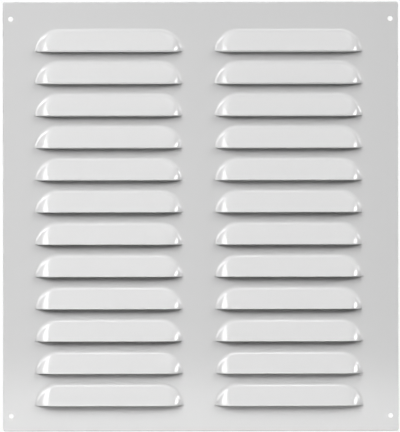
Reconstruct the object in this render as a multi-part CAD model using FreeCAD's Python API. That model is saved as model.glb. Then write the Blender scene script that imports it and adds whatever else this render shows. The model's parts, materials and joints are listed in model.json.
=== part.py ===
# Louvred sheet metal vent panel in one piece. All lengths are in millimetres.
# The sheet lies on its back: back face on Z = 0, front face up along +Z.
# X runs across the panel and Y up it. The mouths of the louvres face -Y.
import FreeCAD
import Part
import math
import os
from FreeCAD import Vector

# ---- sheet ----
panel_width = 350.0
panel_height = 380.0
sheet = 1.2                # thickness, coating included
corner_radius = 1.0        # corners seen from the front
rim_chamfer = 0.5          # front edge all round the sheet

# ---- louvre field: as many columns and rows as the sheet has room for ----
left_margin = 28.0         # left edge to the first louvre tip
right_margin = 28.0        # least flat sheet beyond the last column
column_gap = 27.0          # tip to tip between the columns
first_lip_drop = 44.0      # top edge to the first lip
bottom_margin = 20.0       # least flat sheet below the last lip
row_pitch = 28.5           # lip to lip

# ---- one louvre ----
louvre_length = 132.0      # tip to tip along the lip
louvre_run = 18.9          # lip to the bend line, where slope and sheet meet
lip_rise = 7.5             # front of the sheet to the top of the lip
root_bend_radius = 7.0     # soft bend where the slope leaves the sheet
tip_bend_radius = 2.5      # tighter bend at the foot of the two ends
tip_wall_angle = 58.0      # steepest part of the ends, degrees above the sheet

# ---- screw holes ----
screw_hole_diameter = 4.5
hole_side_inset = 7.0
hole_top_inset = 15.0
hole_bottom_inset = 13.5

# ---- sections and facets that the skins of a louvre are made from ----
turn_sections = 4                       # steps round each quarter turn of the front skin
crown_stations = (0.0, 0.16, 0.36, 0.64, 1.0)      # top of the foot bend to the flat face
back_turns = (34.0, 60.0, 86.0)         # degrees round each end where a back facet touches
back_shares = (0.05, 0.55)              # how far up the crown a back facet touches
back_facet_gain = 0.25                  # extra metal left behind the facets

columns = int((panel_width - left_margin - right_margin + column_gap) / (louvre_length + column_gap))
rows = 1 + int((panel_height - first_lip_drop - bottom_margin) / row_pitch)
slope_angle = math.atan2(lip_rise, louvre_run)
outline_radius = louvre_run + root_bend_radius * math.tan(slope_angle / 2)
end_centre = louvre_length / 2 - outline_radius
tip_wall = math.radians(tip_wall_angle)
tip_inset = 1.02 * lip_rise * math.sin(tip_wall) / (1 - math.cos(tip_wall))   # tip to flat face


def flat_face_height(y, depth):
    """Height of the flat sloping face above its own side of the sheet."""
    return math.tan(slope_angle) * (louvre_run - y) - depth * (1 / math.cos(slope_angle) - 1)


def section_bends(turn, depth):
    """Foot radius, crown radius, steepest angle and slope at the flat face of one section.

    turn is 0 at the root and a quarter turn at a tip. depth is 0 for the front skin and the
    thickness of the sheet for the skin behind it. The foot is a hollow arc up from the
    sheet, and the crown a round arc from its steepest point to where it meets the flat face.
    """
    run_out = math.atan(math.tan(slope_angle) * math.cos(turn))
    bend = tip_wall * turn / (math.pi / 2)
    foot = root_bend_radius + (tip_bend_radius - root_bend_radius) * math.sin(turn) ** 2 + depth
    crown = 0.0
    if bend > 0:
        start = flat_face_height(outline_radius * math.cos(turn), depth)
        crown = (start * math.cos(run_out) - foot * (math.cos(run_out) - math.cos(bend))) / (1 - math.cos(bend))
    return foot, crown, run_out + bend, run_out


def crown_point(side, turn, share, depth, stop=0.0):
    """Point of a skin at one end: share 0 is the top of the foot, 1 is the crown's end or stop."""
    foot, crown, wall, run_out = section_bends(turn, depth)
    low = foot * math.sin(wall)
    end = low + crown * (math.sin(wall) - math.sin(run_out))
    inset = low + (max(end, stop) - low) * share
    if inset < end:
        across = inset - (foot + crown) * math.sin(wall)
        height = foot * (1 - math.cos(wall)) - crown * math.cos(wall) + math.sqrt(crown ** 2 - across ** 2)
    else:
        height = flat_face_height((outline_radius - inset) * math.cos(turn), depth)
    return skin_point(side, turn, inset, height, depth)


def skin_point(side, turn, inset, height, depth):
    """Point of a skin at one end of a louvre, from its turn, its inset and its height."""
    reach = outline_radius - inset
    return Vector(side * (end_centre + reach * math.sin(turn)), reach * math.cos(turn), sheet - depth + height)


def section_line(side, turn):
    """Points of one front section: the outline, the top of the foot bend, then over the crown."""
    return ([skin_point(side, turn, 0.0, 0.0, 0.0)]
            + [crown_point(side, turn, station, 0.0, tip_inset) for station in crown_stations])


def end_sections(side):
    """Sections of one end: one on the straight root, then round the quarter turn to the tip."""
    quarter = math.pi / 2
    step = outline_radius * quarter / turn_sections
    root = section_line(side, 0.0)
    return ([[point - Vector(side * step, 0, 0) for point in root], root]
            + [section_line(side, quarter * (k + 1) / turn_sections) for k in range(turn_sections)])


def curve_through(points, parameters):
    curve = Part.BSplineCurve()
    curve.interpolate(Points=list(points), Parameters=list(parameters))
    return curve


def surface_through(lines, stations):
    """Smooth surface through a row of sections that all have the same stations."""
    across = [curve_through(line, stations) for line in lines]
    along = [curve_through(points, range(len(lines))) for points in zip(*[c.getPoles() for c in across])]
    poles = [list(row) for row in zip(*[c.getPoles() for c in along])]
    surface = Part.BSplineSurface()
    surface.buildFromPolesMultsKnots(poles, along[0].getMultiplicities(), across[0].getMultiplicities(),
                                     along[0].getKnots(), across[0].getKnots(), False, False, 3, 3)
    return surface.toShape()


def edge_between(shape, start, end):
    """The edge of a shape that joins two points."""
    for edge in shape.Edges:
        ends = [vertex.Point for vertex in edge.Vertexes]
        for a, b in (ends, ends[::-1]):
            if a.distanceToPoint(start) < 1e-4 and b.distanceToPoint(end) < 1e-4:
                return edge
    raise ValueError('no edge between the two points')


def joined_wire(edges):
    return Part.Wire(Part.__sortEdges__(edges))


def front_of_louvre():
    """Front skin and lip face of one louvre at the origin, and the wire of its hole in the sheet."""
    faces, outline, flat, lip = [], [], [], []
    for side in (-1, 1):
        lines = end_sections(side)
        rings = [curve_through(points, range(len(lines))).toShape() for points in zip(*lines)]
        crown = surface_through([line[1:] for line in lines], crown_stations)
        faces += [Part.makeRuledSurface(rings[0], rings[1]), crown]
        outline.append(rings[0])
        flat += [rings[-1], edge_between(crown, lines[0][1], lines[0][-1])]
        lip += [Part.makeLine(lines[-1][0], lines[-1][1]), edge_between(crown, lines[-1][1], lines[-1][-1])]
    foot, bend, top = [Part.makeLine(Vector(-point.x, point.y, point.z), point)
                       for point in (lines[0][0], lines[0][1], lines[-1][-1])]
    slit = Part.makeLine(Vector(-louvre_length / 2, 0, sheet), Vector(louvre_length / 2, 0, sheet))
    faces += [Part.makeRuledSurface(foot, bend), Part.Face(joined_wire(flat + [bend, top])),
              Part.Face(joined_wire(lip + [top, slit]))]
    return faces, joined_wire(outline + [foot, slit])


def facet(side, turn, share):
    """Plane that touches the back skin at one spot: a point on it and its normal."""
    spots = [crown_point(side, turn + step, share + rise, sheet)
             for step, rise in ((0.0, 0.0), (0.01, 0.0), (0.0, 0.01))]
    normal = (spots[1] - spots[0]).cross(spots[2] - spots[0])
    normal.normalize()
    if normal.z < 0:
        normal = normal * -1
    return spots[0] - normal * back_facet_gain, normal


def back_hollow():
    """The hollow behind one louvre, open at the back and at the mouth, in flat facets."""
    reach = louvre_length
    hollow = Part.makeBox(reach * 2, reach, reach, Vector(-reach, 0, -sheet))
    slope = Vector(0, math.sin(slope_angle), math.cos(slope_angle))
    facets = [(Vector(0, 0, flat_face_height(0.0, sheet)), slope)]
    for side in (-1, 1):
        for degrees in back_turns:
            facets += [facet(side, math.radians(degrees), share) for share in back_shares]
    for point, normal in facets:
        above = Part.makeBox(4 * reach, 4 * reach, 4 * reach, Vector(-2 * reach, -2 * reach, 0))
        above.Placement = FreeCAD.Placement(point, FreeCAD.Rotation(Vector(0, 0, 1), normal))
        hollow = hollow.cut(above)
    return hollow


def blank():
    """Flat sheet with its corners, rounded front rim and screw holes, before the louvres."""
    plate = Part.makeBox(panel_width, panel_height, sheet, Vector(-panel_width / 2, -panel_height / 2, 0))
    corners = [edge for edge in plate.Edges if edge.BoundBox.ZLength > sheet / 2]
    plate = plate.makeFillet(corner_radius, corners)
    rim = [edge for edge in plate.Edges if edge.BoundBox.ZMin > sheet / 2]
    plate = plate.makeChamfer(rim_chamfer, rim)
    side = panel_width / 2 - hole_side_inset
    for x in (-side, side):
        for y in (panel_height / 2 - hole_top_inset, hole_bottom_inset - panel_height / 2):
            plate = plate.cut(Part.makeCylinder(screw_hole_diameter / 2, sheet, Vector(x, y, 0)))
    return plate


def louvre_places():
    """Middle of the lip line of each louvre."""
    places = []
    for column in range(columns):
        x = left_margin + louvre_length / 2 + column * (louvre_length + column_gap) - panel_width / 2
        for row in range(rows):
            places.append(Vector(x, panel_height / 2 - first_lip_drop - row * row_pitch, 0))
    return places


def louvred_panel():
    """The blank with the louvres raised out of its front, then hollowed from behind."""
    plate = blank()
    faces, hole = front_of_louvre()
    places = louvre_places()
    raised = [face.translated(place) for place in places for face in faces]
    holes = [hole.translated(place) for place in places]
    for face in plate.Faces:
        if face.BoundBox.ZMin > sheet - 1e-6:
            face = Part.makeFace(face.Wires + holes, 'Part::FaceMakerBullseye')
        raised.append(face)
    shell = Part.makeShell(raised)
    shell.sewShape()
    panel = Part.Solid(shell)
    if panel.Volume < 0:
        panel.reverse()
    hollow = back_hollow()
    return panel.cut([hollow.translated(place) for place in places])


panel = louvred_panel()
print('valid', panel.isValid(), 'solids', len(panel.Solids), 'faces', len(panel.Faces),
      'volume', round(panel.Volume, 1), 'area', round(panel.Area, 1))
os.makedirs('parts', exist_ok=True)
panel.exportStep('parts/louvred_panel.step')
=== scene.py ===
import json
import math

import bpy
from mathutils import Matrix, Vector

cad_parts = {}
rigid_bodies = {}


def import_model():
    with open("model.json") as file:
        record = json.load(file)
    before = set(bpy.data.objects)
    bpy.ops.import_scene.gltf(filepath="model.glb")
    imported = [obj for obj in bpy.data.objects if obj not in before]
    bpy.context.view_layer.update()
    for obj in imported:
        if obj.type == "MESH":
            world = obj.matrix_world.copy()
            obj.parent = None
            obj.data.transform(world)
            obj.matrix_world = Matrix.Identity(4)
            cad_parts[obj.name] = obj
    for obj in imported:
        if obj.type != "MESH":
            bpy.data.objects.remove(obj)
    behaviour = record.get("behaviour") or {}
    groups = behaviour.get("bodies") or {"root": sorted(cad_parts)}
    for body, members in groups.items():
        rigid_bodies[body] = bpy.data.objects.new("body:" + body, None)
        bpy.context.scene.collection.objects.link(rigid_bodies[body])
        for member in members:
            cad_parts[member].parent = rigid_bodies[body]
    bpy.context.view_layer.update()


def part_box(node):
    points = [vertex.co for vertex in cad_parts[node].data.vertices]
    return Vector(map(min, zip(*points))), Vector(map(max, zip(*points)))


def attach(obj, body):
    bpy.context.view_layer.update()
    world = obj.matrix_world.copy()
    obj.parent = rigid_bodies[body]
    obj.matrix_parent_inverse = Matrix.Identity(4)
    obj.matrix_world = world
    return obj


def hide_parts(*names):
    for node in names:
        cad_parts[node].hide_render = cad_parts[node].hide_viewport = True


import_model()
panelLow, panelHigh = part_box("louvred_panel")
print("frame loaded, panel", [round(v * 1000, 1) for v in panelHigh - panelLow], "mm")


# the flat sheet, its rim and its screw holes
sheetShape = {
    "width": panelHigh.x - panelLow.x,
    "height": panelHigh.y - panelLow.y,
    "thickness": 0.0012,
    "cornerRadius": 0.001,      # corners seen from the front
    "frontRim": 0.0006,         # coated front edge, rolled over
    "backRim": 0.0002,
    "rimSteps": 5,
    "backRimSteps": 2,
    "cornerSteps": 6,
    "cornerEase": 0.0008,       # added to the corner so that the rolled rim can turn it
    "skirt": 0.0005,            # flat margin kept round every bend and hole
    "holeRadius": 0.00225,
    "holeEdge": 0.0002,
    "holeSideInset": 0.007,
    "holeTopInset": 0.015,
    "holeBottomInset": 0.0135,
    "holeSteps": 40,
}

# one pressed louvre
louvreShape = {
    "length": 0.132,            # tip to tip along the lip
    "run": 0.0189,              # lip to the bend line
    "rise": 0.0075,             # sheet front to the top of the lip
    "rootBend": 0.012,
    "tipBend": 0.0035,
    "tipWall": math.radians(50),
    "wallGrowth": 1.4,          # above 1 keeps the upper corners soft
    "lipRounding": 0.0004,      # front edge of the lip, rolled by the shear and the coating
    "slitRounding": 0.00025,
    "turnSteps": 22,            # round each end
    "footSteps": 6,
    "crownSteps": 12,
    "rollSteps": 6,
    "tipFade": 0.002,           # the lip's rounding grows over this length from the tip
    "slitFade": 0.001,
    "crownLeast": 0.0012,       # narrowest band of crown points
    "crownCurved": 0.004,       # crowns above this radius get points at even angles
    "faceInset": 1.04,          # flat face starts this many crown widths in
    "faceShare": 0.35,
}

# how the louvres are spread over the sheet
fieldShape = {
    "columns": 2,
    "rows": 12,
    "leftMargin": 0.028,
    "columnGap": 0.027,
    "firstLipDrop": 0.044,      # top edge to the first lip
    "rowPitch": 0.0285,
    "weldDistance": 0.000002,
    "creaseAngle": math.radians(38),    # edges sharper than this stay crisp
}


def louvreBasics(shape):
    slope = math.atan2(shape["rise"], shape["run"])
    outline = shape["run"] + shape["rootBend"] * math.tan(slope / 2)
    return slope, outline, shape["length"] / 2 - outline


def sectionBends(shape, turn, depth):
    # foot radius, crown radius, steepest angle and slope at the flat face
    slope, outline, _ = louvreBasics(shape)
    runOut = math.atan(math.tan(slope) * math.cos(turn))
    bend = shape["tipWall"] * (turn / (math.pi / 2)) ** shape["wallGrowth"]
    foot = shape["rootBend"] + (shape["tipBend"] - shape["rootBend"]) * math.sin(turn) ** 2 + depth
    crown = 0.0
    if bend > 1e-6:
        start = flatHeight(shape, outline * math.cos(turn), depth)
        climbed = foot * (math.cos(runOut) - math.cos(bend))
        crown = (start * math.cos(runOut) - climbed) / (1 - math.cos(bend))
    return foot, crown, runOut + bend, runOut


def flatHeight(shape, y, depth):
    slope = louvreBasics(shape)[0]
    return math.tan(slope) * (shape["run"] - y) - depth * (1 / math.cos(slope) - 1)


def skinHeight(shape, turn, inset, depth):
    # height of a skin above its own side of the sheet
    outline = louvreBasics(shape)[1]
    foot, crown, wall, runOut = sectionBends(shape, turn, depth)
    low = foot * math.sin(wall)
    if inset <= 0:
        return 0.0
    if inset <= low:
        return foot - math.sqrt(foot ** 2 - inset ** 2)
    if inset < low + crown * (math.sin(wall) - math.sin(runOut)):
        across = inset - (foot + crown) * math.sin(wall)
        centre = foot * (1 - math.cos(wall)) - crown * math.cos(wall)
        return centre + math.sqrt(crown ** 2 - across ** 2)
    return flatHeight(shape, (outline - inset) * math.cos(turn), depth)


def heightAt(shape, x, y, depth):
    _, outline, endCentre = louvreBasics(shape)
    beyond = abs(x) - endCentre
    if beyond <= 0:
        return skinHeight(shape, 0.0, outline - y, depth)
    return skinHeight(shape, math.atan2(beyond, max(y, 0.0)), outline - math.hypot(beyond, y), depth)


def rowInsets(shape, turn, depth, skirt):
    # insets of one section: skirt, outline, foot bend, crown, then on to the flat face
    foot, crown, wall, runOut = sectionBends(shape, turn, depth)
    tipFoot, tipCrown, tipWall, _ = sectionBends(shape, math.pi / 2, 0.0)
    reach = (tipFoot + tipCrown) * math.sin(tipWall) * shape["faceInset"]
    low = foot * math.sin(wall)
    width = max(crown * (math.sin(wall) - math.sin(runOut)), shape["crownLeast"])
    insets = [-skirt, 0.0]
    for k in range(1, shape["footSteps"] + 1):
        insets.append(foot * math.sin(wall * k / shape["footSteps"]))
    for k in range(1, shape["crownSteps"] + 1):
        share = k / shape["crownSteps"]
        if crown > shape["crownCurved"]:
            angle = wall + (runOut - wall) * share
            share = (math.sin(wall) - math.sin(angle)) / (math.sin(wall) - math.sin(runOut))
        insets.append(low + width * share)
    return insets + [insets[-1] + (reach - insets[-1]) * shape["faceShare"], reach]


class MeshBook:
    # collects points and faces, and becomes a mesh
    def __init__(self):
        self.points = []
        self.faces = []

    def point(self, x, y, z):
        self.points.append((x, y, z))
        return len(self.points) - 1

    def strip(self, one, other):
        # quads between two rows of points
        for a, b, c, d in zip(one, one[1:], other[1:], other):
            self.faces.append((a, b, c, d))

    def build(self, name):
        mesh = bpy.data.meshes.new(name)
        mesh.from_pydata(self.points, [], self.faces)
        mesh.update()
        return mesh


def lipReach(shape, inset):
    # how far back the lip's rounding starts: nothing at the very tip
    slope = louvreBasics(shape)[0]
    return shape["lipRounding"] * (1 + math.sin(slope)) * min(1.0, max(inset, 0.0) / shape["tipFade"])


def skinRows(book, shape, depth, skirt, base, rolled):
    # one skin as columns of points, from the left tip over the root to the right tip
    _, outline, endCentre = louvreBasics(shape)
    steps = shape["turnSteps"]
    turns = [(-1, math.pi / 2 * (1 - k / steps)) for k in range(steps + 1)]
    turns += [(1, math.pi / 2 * k / steps) for k in range(steps + 1)]
    columns = []
    for side, turn in turns:
        column = []
        for inset in rowInsets(shape, turn, depth, skirt):
            reach = outline - inset
            back = lipReach(shape, inset) if rolled else 0.0
            x = side * (endCentre + reach * math.sin(turn))
            y = back + reach * math.cos(turn) * (1 - back / outline)
            column.append(book.point(x, y, base + heightAt(shape, x, y, depth)))
        columns.append(column)
    return columns


def louvreMesh(sheet, shape):
    book = MeshBook()
    thick = sheet["thickness"]
    skirt = sheet["skirt"]
    front = skinRows(book, shape, 0.0, skirt, thick, True)
    back = skinRows(book, shape, thick, skirt, 0.0, False)
    for columns, outward in ((front, True), (back, False)):
        for left, right in zip(columns, columns[1:]):
            if outward:
                book.strip(left, right)
            else:
                book.strip(right, left)
        count = shape["turnSteps"]
        for k in range(count):      # the flat face, as a ladder from end to end
            rung = (columns[k][-1], columns[k + 1][-1], columns[-2 - k][-1], columns[-1 - k][-1])
            book.faces.append(rung[::-1] if outward else rung)
    lip = front[0][1:] + front[-1][:0:-1]
    under = back[0][1:] + back[-1][:0:-1]
    lipStrips(book, shape, lip, under)
    slitStrips(book, sheet, shape, lip)
    return book


def lipStrips(book, shape, lip, under):
    # from the front skin over the rounded edge, down to the back skin
    probe = 0.0001              # how far on the slope is sampled
    rows = [lip]
    for k in range(1, shape["rollSteps"] + 1):
        row = []
        for index in lip:
            x, y, z = book.points[index]
            fall = heightAt(shape, x, y, 0.0) - heightAt(shape, x, y + probe, 0.0)
            lean = math.atan2(fall, probe)
            radius = y / (1 + math.sin(lean))
            angle = -lean + (math.pi / 2 + lean) * k / shape["rollSteps"]
            drop = radius * (math.cos(lean) - math.cos(angle))
            row.append(book.point(x, radius * (1 - math.sin(angle)), z - drop))
        rows.append(row)
    for one, other in zip(rows, rows[1:] + [under]):
        book.strip(other, one)


def slitStrips(book, sheet, shape, lip):
    # the sheet's own sheared edge below the mouth, from its front round to its back
    thick = sheet["thickness"]
    skirt = sheet["skirt"]
    half = shape["length"] / 2
    spots = [-half - skirt] + [book.points[index][0] for index in lip] + [half + skirt]
    columns = []
    for x in spots:
        soft = shape["slitRounding"] * min(1.0, max(0.0, half - abs(x)) / shape["slitFade"])
        turned = soft * 0.3         # the middle point of each rounded corner
        places = [(-skirt, thick), (-soft, thick), (-turned, thick - turned), (0.0, thick - soft),
                  (0.0, soft), (-turned, turned), (-soft, 0.0), (-skirt, 0.0)]
        if abs(x) > half:       # past the tips the edge closes on the sheet
            places[1:4] = [(0.0, thick)] * 3
            places[4:7] = [(0.0, 0.0)] * 3
        columns.append([book.point(x, y, z) for y, z in places])
    rows = list(zip(*columns))
    for k, (one, other) in enumerate(zip(rows, rows[1:])):
        if k == 3:              # the cut face has nothing past the tips
            one, other = one[1:-1], other[1:-1]
        book.strip(one, other)


def skirtLoop(book, sheet, shape):
    # plan of the skirt that meets the flat sheet, as one closed ring of points
    _, outline, endCentre = louvreBasics(shape)
    skirt = sheet["skirt"]
    steps = shape["turnSteps"]
    ring = []
    for side, ks in ((-1, range(steps, -1, -1)), (1, range(steps + 1))):
        for k in ks:
            turn = math.pi / 2 * k / steps
            ring.append((side * (endCentre + (outline + skirt) * math.sin(turn)),
                         (outline + skirt) * math.cos(turn)))
    lowest = sorted(x for x, y, z in book.points if abs(y + skirt) < 1e-9 and z > sheet["thickness"] / 2)
    ring += [(x, -skirt) for x in reversed(lowest)]
    return ring


def loopMesh(name, rings):
    points = []
    edges = []
    for ring in rings:
        start = len(points)
        points += [(x, y, 0.0) for x, y in ring]
        edges += [(start + k, start + (k + 1) % len(ring)) for k in range(len(ring))]
    mesh = bpy.data.meshes.new(name)
    mesh.from_pydata(points, edges, [])
    return mesh


def roundedRect(width, height, radius, steps):
    ring = []
    for cx, cy, start in ((1, 1, 0), (-1, 1, 90), (-1, -1, 180), (1, -1, 270)):
        for k in range(steps + 1):
            angle = math.radians(start + 90 * k / steps)
            ring.append((cx * (width / 2 - radius) + radius * math.cos(angle),
                         cy * (height / 2 - radius) + radius * math.sin(angle)))
    return ring


def edgeProfile(sheet, frontRounding, backRounding):
    # (distance inwards from the edge, height) from the flat front, over the edge, to the flat back
    flat = frontRounding + sheet["skirt"]
    profile = [(flat, sheet["thickness"])]
    for k in range(sheet["rimSteps"] + 1):
        angle = math.pi / 2 * k / sheet["rimSteps"]
        drop = frontRounding * (1 - math.cos(angle))
        profile.append((frontRounding * (1 - math.sin(angle)), sheet["thickness"] - drop))
    for k in range(sheet["backRimSteps"] + 1):
        angle = math.pi / 2 * k / sheet["backRimSteps"]
        profile.append((backRounding * (1 - math.cos(angle)), backRounding * (1 - math.sin(angle))))
    return profile + [(flat, 0.0)]


def closedStrips(book, rows):
    # strips between rows that are closed rings
    for one, other in zip(rows, rows[1:]):
        book.strip(one + one[:1], other + other[:1])


def holeRings(book, sheet, centreX, centreY):
    rows = []
    for inset, z in edgeProfile(sheet, sheet["holeEdge"], sheet["holeEdge"]):
        radius = sheet["holeRadius"] + inset
        row = []
        for k in range(sheet["holeSteps"]):
            angle = 2 * math.pi * k / sheet["holeSteps"]
            x = centreX + radius * math.cos(angle)
            y = centreY + radius * math.sin(angle)
            row.append(book.point(x, y, z))
        rows.append(row)
    return rows


def rimMesh(sheet):
    # rolled outer edge and the four screw holes, with the rings that meet the flat sheet
    book = MeshBook()
    corner = sheet["cornerRadius"] + sheet["cornerEase"]
    rows = []
    for inset, z in edgeProfile(sheet, sheet["frontRim"], sheet["backRim"])[::-1]:
        ring = roundedRect(sheet["width"] - 2 * inset, sheet["height"] - 2 * inset,
                           corner - inset, sheet["cornerSteps"])
        rows.append([book.point(x, y, z) for x, y in ring])
    loops = [[book.points[index][:2] for index in rows[-1]]]
    closedStrips(book, rows)
    side = sheet["width"] / 2 - sheet["holeSideInset"]
    top = sheet["height"] / 2 - sheet["holeTopInset"]
    bottom = sheet["holeBottomInset"] - sheet["height"] / 2
    for centreX in (-side, side):
        for centreY in (top, bottom):
            rows = holeRings(book, sheet, centreX, centreY)
            loops.append([book.points[index][:2] for index in rows[0]])
            closedStrips(book, rows)
    return book, loops


def newObject(name, mesh):
    made = bpy.data.objects.new(name, mesh)
    bpy.context.scene.collection.objects.link(made)
    return made


def inputOf(made, key):
    # i0, i1 ... are sockets by number, other keys are names with _ for a space
    if key[0] == "i" and key[1:].isdigit():
        return made.inputs[int(key[1:])]
    return made.inputs[key.replace("_", " ")]


class TreeMaker:
    # adds nodes to a geometry tree, with values or links for their inputs
    def __init__(self, name):
        self.tree = bpy.data.node_groups.new(name, "GeometryNodeTree")
        self.entry = self.tree.nodes.new("NodeGroupInput")
        self.exit = self.tree.nodes.new("NodeGroupOutput")
        self.ids = {}

    def ask(self, name, kind, low):
        socket = self.tree.interface.new_socket(name, in_out="INPUT", socket_type=kind)
        if low is not None:
            socket.min_value = low
        self.ids[name] = socket.identifier

    def given(self, name):
        return self.entry.outputs[name]

    def node(self, kind, settings=None, **inputs):
        made = self.tree.nodes.new(kind)
        for key, value in (settings or {}).items():
            setattr(made, key, value)
        for key, value in inputs.items():
            socket = inputOf(made, key)
            for one in value if isinstance(value, list) else [value]:
                if isinstance(one, bpy.types.NodeSocket):
                    self.tree.links.new(one, socket)
                else:
                    socket.default_value = one
        return made


fieldInputs = [
    # name, kind of socket, lowest value
    ("Louvre", "NodeSocketObject", None),
    ("Louvre outline", "NodeSocketObject", None),
    ("Rim", "NodeSocketObject", None),
    ("Rim outline", "NodeSocketObject", None),
    ("Columns", "NodeSocketInt", 1),
    ("Rows", "NodeSocketInt", 1),
    ("Column spacing", "NodeSocketFloat", 0.0),
    ("Row spacing", "NodeSocketFloat", 0.0),
    ("Field centre", "NodeSocketVector", None),
    ("Thickness", "NodeSocketFloat", 0.0),
    ("Weld distance", "NodeSocketFloat", 0.0),
    ("Coating", "NodeSocketMaterial", None),
]


def louvreFieldTree():
    # repeats the louvres over the sheet, and fills the flat sheet between them and the rim
    maker = TreeMaker("louvreField")
    for name, kind, low in fieldInputs:
        maker.ask(name, kind, low)
    maker.tree.interface.new_socket("Geometry", in_out="OUTPUT", socket_type="NodeSocketGeometry")
    given = maker.given
    node = maker.node

    def span(count, spacing):
        gaps = node("ShaderNodeMath", {"operation": "SUBTRACT"}, i0=given(count), i1=1.0)
        length = node("ShaderNodeMath", {"operation": "MULTIPLY"}, i0=gaps.outputs[0], i1=given(spacing))
        return length.outputs[0]

    grid = node("GeometryNodeMeshGrid", Size_X=span("Columns", "Column spacing"),
                Size_Y=span("Rows", "Row spacing"), Vertices_X=given("Columns"), Vertices_Y=given("Rows"))
    places = node("GeometryNodeTransform", Geometry=grid.outputs[0], Translation=given("Field centre"))

    def repeated(geometry):
        copies = node("GeometryNodeInstanceOnPoints", Points=places.outputs[0], Instance=geometry)
        return node("GeometryNodeRealizeInstances", Geometry=copies.outputs[0]).outputs[0]

    def shapeOf(name):
        return node("GeometryNodeObjectInfo", Object=given(name)).outputs["Geometry"]

    louvres = repeated(shapeOf("Louvre"))
    cutouts = repeated(shapeOf("Louvre outline"))
    outlines = node("GeometryNodeJoinGeometry", Geometry=[cutouts, shapeOf("Rim outline")])
    curves = node("GeometryNodeMeshToCurve", Mesh=outlines.outputs[0])
    flat = node("GeometryNodeFillCurve", Curve=curves.outputs[0])
    lift = node("ShaderNodeCombineXYZ", Z=given("Thickness"))
    frontFlat = node("GeometryNodeTransform", Geometry=flat.outputs[0], Translation=lift.outputs[0])
    backFlat = node("GeometryNodeFlipFaces", Mesh=flat.outputs[0])
    whole = node("GeometryNodeJoinGeometry",
                 Geometry=[louvres, shapeOf("Rim"), frontFlat.outputs[0], backFlat.outputs[0]])
    real = node("GeometryNodeRealizeInstances", Geometry=whole.outputs[0])
    welded = node("GeometryNodeMergeByDistance", Geometry=real.outputs[0],
                  Distance=given("Weld distance"))
    painted = node("GeometryNodeSetMaterial", Geometry=welded.outputs[0], Material=given("Coating"))
    maker.tree.links.new(painted.outputs[0], maker.exit.inputs[0])
    return maker


# white powder coat
coatLook = {
    "colour": (0.80, 0.80, 0.80, 1.0),
    "thinColour": (0.785, 0.785, 0.785, 1.0),   # where the powder lies thinner
    "roughness": 0.35,
    "roughnessSpread": 0.06,
    "cloudSize": 9.0,           # uneven patches per metre
    "cloudDetail": 3.0,
    "cloudMix": 0.55,
    "peelSize": 900.0,          # orange peel ripples per metre
    "peelDetail": 2.0,
    "peelMix": 0.5,
    "peelDepth": 0.00001,
    "gloss": 1.0,
    "glossLoss": 0.08,          # in the thin patches
    "glossRoughness": 0.11,
    "glossIor": 1.55,
}


class Wire:
    # a socket that can be used in Python expressions
    def __init__(self, shader, socket):
        self.shader = shader
        self.socket = socket

    def maths(self, operation, first, second):
        return self.shader.node("ShaderNodeMath", {"operation": operation}, i0=first, i1=second)

    def __add__(self, other):
        return self.maths("ADD", self, other)

    def __radd__(self, other):
        return self.maths("ADD", other, self)

    def __sub__(self, other):
        return self.maths("SUBTRACT", self, other)

    def __rsub__(self, other):
        return self.maths("SUBTRACT", other, self)

    def __mul__(self, other):
        return self.maths("MULTIPLY", self, other)

    def __rmul__(self, other):
        return self.maths("MULTIPLY", other, self)


class Shader:
    # adds shader nodes and hands back their first output
    def __init__(self, name):
        self.material = bpy.data.materials.new(name)
        self.material.use_nodes = True
        self.tree = self.material.node_tree
        self.tree.nodes.clear()

    def finish(self, surface):
        out = self.tree.nodes.new("ShaderNodeOutputMaterial")
        self.tree.links.new(surface.socket, out.inputs["Surface"])
        return self.material

    def node(self, kind, settings=None, output=0, **inputs):
        made = self.tree.nodes.new(kind)
        for key, value in (settings or {}).items():
            setattr(made, key, value)
        for key, value in inputs.items():
            socket = inputOf(made, key)
            if isinstance(value, Wire):
                self.tree.links.new(value.socket, socket)
            else:
                socket.default_value = value
        return Wire(self, made.outputs[output])


def powderCoat(look):
    shader = Shader("whitePowderCoat")
    place = shader.node("ShaderNodeTexCoord", output="Object")
    peel = shader.node("ShaderNodeTexNoise", Vector=place, Scale=look["peelSize"],
                       Detail=look["peelDetail"], Roughness=look["peelMix"])
    cloud = shader.node("ShaderNodeTexNoise", Vector=place, Scale=look["cloudSize"],
                        Detail=look["cloudDetail"], Roughness=look["cloudMix"])
    colour = shader.node("ShaderNodeMix", {"data_type": "RGBA"}, output=2,
                         i0=cloud, i6=look["colour"], i7=look["thinColour"])
    bump = shader.node("ShaderNodeBump", Height=peel, Distance=look["peelDepth"], Strength=1.0)
    coat = shader.node("ShaderNodeBsdfPrincipled", Base_Color=colour, Normal=bump, Specular_IOR_Level=0.0,
                       Roughness=look["roughness"] + (cloud - 0.5) * look["roughnessSpread"],
                       Coat_Weight=look["gloss"] - cloud * look["glossLoss"],
                       Coat_Roughness=look["glossRoughness"], Coat_IOR=look["glossIor"])
    return shader.finish(coat)


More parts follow.
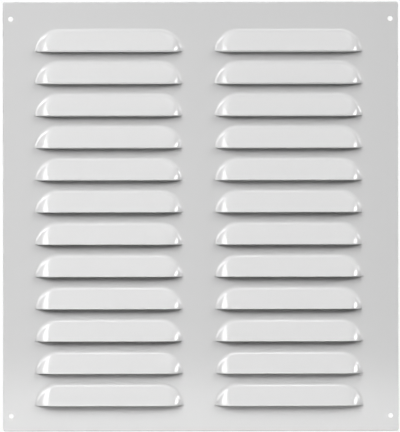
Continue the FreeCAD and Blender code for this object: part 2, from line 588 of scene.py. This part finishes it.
def buildPanel():
    louvre = louvreMesh(sheetShape, louvreShape)
    louvrePlan = skirtLoop(louvre, sheetShape, louvreShape)
    rim, rimLoops = rimMesh(sheetShape)
    parts = {
        "Louvre": newObject("louvreForm", louvre.build("louvreForm")),
        "Louvre outline": newObject("louvreOutline", loopMesh("louvreOutline", [louvrePlan])),
        "Rim": newObject("rimForm", rim.build("rimForm")),
        "Rim outline": newObject("rimOutline", loopMesh("rimOutline", rimLoops)),
    }
    maker = louvreFieldTree()
    columnPitch = louvreShape["length"] + fieldShape["columnGap"]
    left = panelLow.x + fieldShape["leftMargin"] + louvreShape["length"] / 2
    top = panelHigh.y - fieldShape["firstLipDrop"]
    centre = (left + columnPitch * (fieldShape["columns"] - 1) / 2,
              top - fieldShape["rowPitch"] * (fieldShape["rows"] - 1) / 2, 0.0)
    values = dict(parts, **{"Columns": fieldShape["columns"], "Rows": fieldShape["rows"],
                            "Column spacing": columnPitch, "Row spacing": fieldShape["rowPitch"],
                            "Field centre": centre, "Thickness": sheetShape["thickness"],
                            "Weld distance": fieldShape["weldDistance"],
                            "Coating": powderCoat(coatLook)})
    carrier = newObject("panelCarrier", bpy.data.meshes.new("panelCarrier"))
    modifier = carrier.modifiers.new("louvreField", "NODES")
    modifier.node_group = maker.tree
    for name, value in values.items():
        modifier[maker.ids[name]] = value
    view = bpy.context.evaluated_depsgraph_get()
    mesh = bpy.data.meshes.new_from_object(carrier.evaluated_get(view))
    carrier.modifiers.remove(modifier)
    for helper in (*parts.values(), carrier):
        bpy.data.objects.remove(helper)
    mesh.name = "pressedPanel"
    mesh.shade_smooth()
    mesh.set_sharp_from_angle(angle=fieldShape["creaseAngle"])
    return newObject("pressedPanel", mesh)


panel = buildPanel()
print("panel built:", len(panel.data.vertices), "points,", len(panel.data.polygons), "faces")

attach(panel, "root")
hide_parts("louvred_panel")


studio = {
    "floorColour": (0.86, 0.86, 0.86, 1.0),
    "floorGlow": 1.0,
    "floorReach": 4.0,
    "world": 0.005,
}

lamps = {
    # name: place, aim, width, height, power, spread in degrees
    "overheadSoftbox": ((0, 1.8, 3.55), (0, 0, 0), 5.0, 1.2, 16, 180),
    "lowBackSoftbox": ((0, 3.5, 1.9), (0, 0, 0), 5.0, 0.8, 20, 180),
    "leftSoftbox": ((-1.8, 1.2, 1.7), (-0.1, 0, 0), 1.9, 1.15, 54, 180),
    "rightSoftbox": ((5.0, 2.2, 2.4), (0.1, 0, 0), 1.7, 1.8, 145, 180),
    "lowerFill": ((0, 0.95, 1.95), (0, -0.6, 0), 2.0, 0.3, 1.0, 45),
    "frontFill": ((0, -0.37, 1.9), (0, -0.1, 0), 0.85, 0.2, 1.9, 180),
}

framing = {
    "distance": 2.2,
    "seenHeight": 0.3824,       # what the frame takes in at the front of the sheet
    "centre": (-0.00053, 0.00035),
    "roll": math.radians(-0.1),
    "nearClip": 0.1,
    "farClip": 20.0,
}


def makeFloor(values):
    reach = values["floorReach"]
    points = [(-reach, -reach, 0), (reach, -reach, 0), (reach, reach, 0), (-reach, reach, 0)]
    mesh = bpy.data.meshes.new("floor")
    mesh.from_pydata(points, [], [(0, 1, 2, 3)])
    floor = newObject("floor", mesh)
    shader = Shader("floorWhite")
    seen = shader.node("ShaderNodeLightPath", output="Is Camera Ray")
    mirrored = shader.node("ShaderNodeLightPath", output="Is Glossy Ray")
    through = shader.node("ShaderNodeLightPath", output="Is Transmission Ray")
    matt = shader.node("ShaderNodeBsdfDiffuse", Color=values["floorColour"])
    glow = shader.node("ShaderNodeEmission", Color=(1, 1, 1, 1), Strength=values["floorGlow"])
    mixed = shader.node("ShaderNodeMixShader", i0=seen + mirrored + through, i1=matt, i2=glow)
    mesh.materials.append(shader.finish(mixed))


def makeLamps():
    for name, (place, aim, width, height, power, spread) in lamps.items():
        data = bpy.data.lights.new(name, "AREA")
        data.shape = "RECTANGLE"
        data.size = width
        data.size_y = height
        data.energy = power
        data.spread = math.radians(spread)
        lamp = newObject(name, data)
        lamp.location = place
        lamp.rotation_euler = (Vector(aim) - Vector(place)).to_track_quat("-Z", "Y").to_euler()


def makeWorld(strength):
    world = bpy.data.worlds.new("studioWorld")
    world.use_nodes = True
    world.node_tree.nodes["Background"].inputs["Color"].default_value = (1, 1, 1, 1)
    world.node_tree.nodes["Background"].inputs["Strength"].default_value = strength
    bpy.context.scene.world = world


def makeCamera(values):
    data = bpy.data.cameras.new("camera")
    data.lens = data.sensor_width * (values["distance"] - sheetShape["thickness"]) / values["seenHeight"]
    data.clip_start = values["nearClip"]
    data.clip_end = values["farClip"]
    camera = newObject("camera", data)
    camera.location = (values["centre"][0], values["centre"][1], values["distance"])
    camera.rotation_euler = (0, 0, values["roll"])
    bpy.context.scene.camera = camera


makeFloor(studio)
makeLamps()
makeWorld(studio["world"])
makeCamera(framing)
bpy.context.scene.view_settings.view_transform = "Standard"
print("floor, lamps and camera made")
